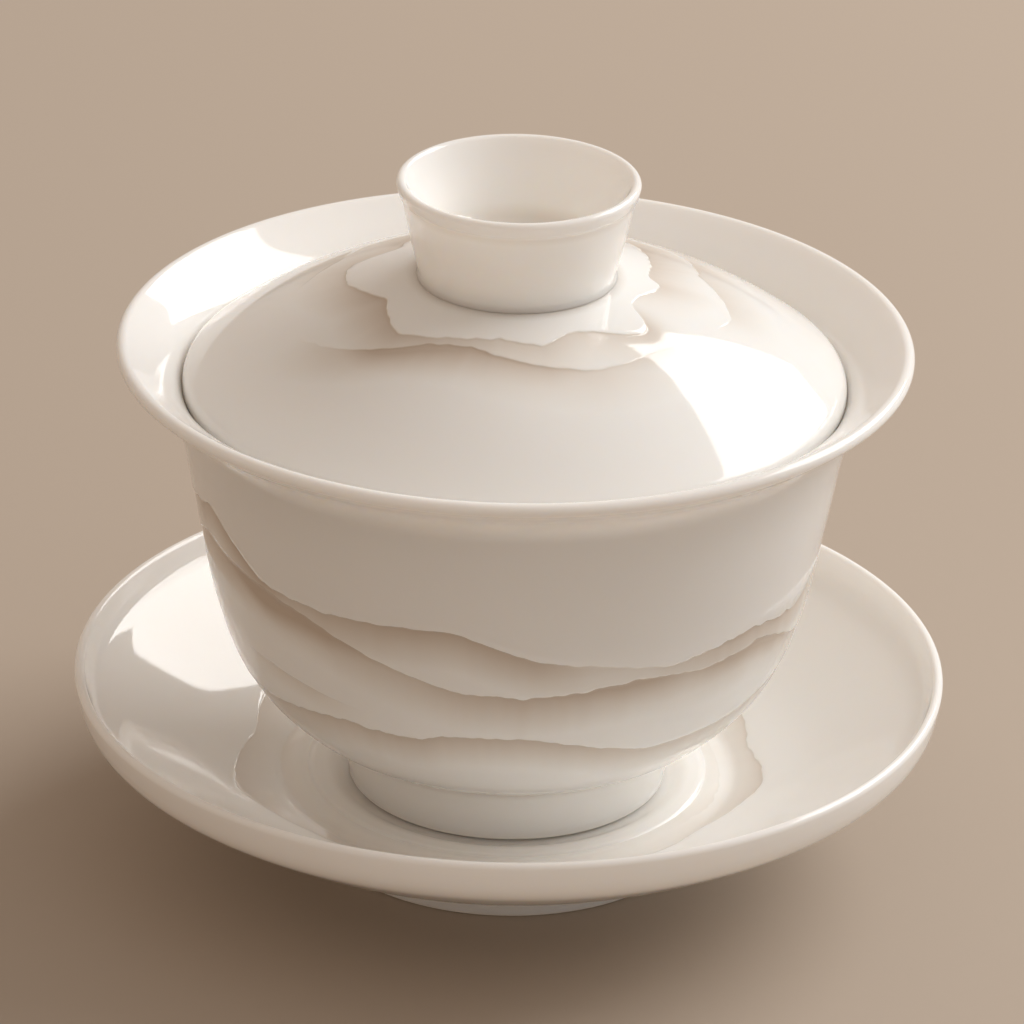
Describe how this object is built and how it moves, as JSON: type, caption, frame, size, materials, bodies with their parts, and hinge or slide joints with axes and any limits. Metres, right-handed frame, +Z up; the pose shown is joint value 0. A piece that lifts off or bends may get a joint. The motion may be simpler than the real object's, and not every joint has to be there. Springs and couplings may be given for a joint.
{
  "type": "gaiwan",
  "caption": "Porcelain tea bowl with a flared lip, a domed lid with a hollow knob, and a saucer with a foot ring.",
  "frame": {"origin": "centre of the saucer's foot ring, in the plane it stands on", "axes": "+Z up along the common axis of saucer, bowl and lid; the part is turned, so +X and +Y are free"},
  "size_m": [0.1112, 0.1112, 0.0905],
  "materials": {
    "saucer_porcelain": "warm white porcelain under a clear gloss glaze",
    "bowl_porcelain": "warm white porcelain under a clear gloss glaze",
    "lid_porcelain": "warm white porcelain under a clear gloss glaze",
    "knob_porcelain": "warm white porcelain under a clear gloss glaze"
  },
  "bodies": {
    "saucer": {"saucer": "saucer_porcelain"},
    "bowl": {"bowl": "bowl_porcelain"},
    "lid": {"lid": "lid_porcelain", "lid_knob": "knob_porcelain"}
  },
  "joints": [
    {"name": "bowl_lift", "type": "slide", "parent": "saucer", "child": "bowl", "axis": [0, 0, 1], "range_m": [0, 0.05]},
    {"name": "lid_lift", "type": "slide", "parent": "bowl", "child": "lid", "axis": [0, 0, 1], "range_m": [0, 0.05]}
  ]
}
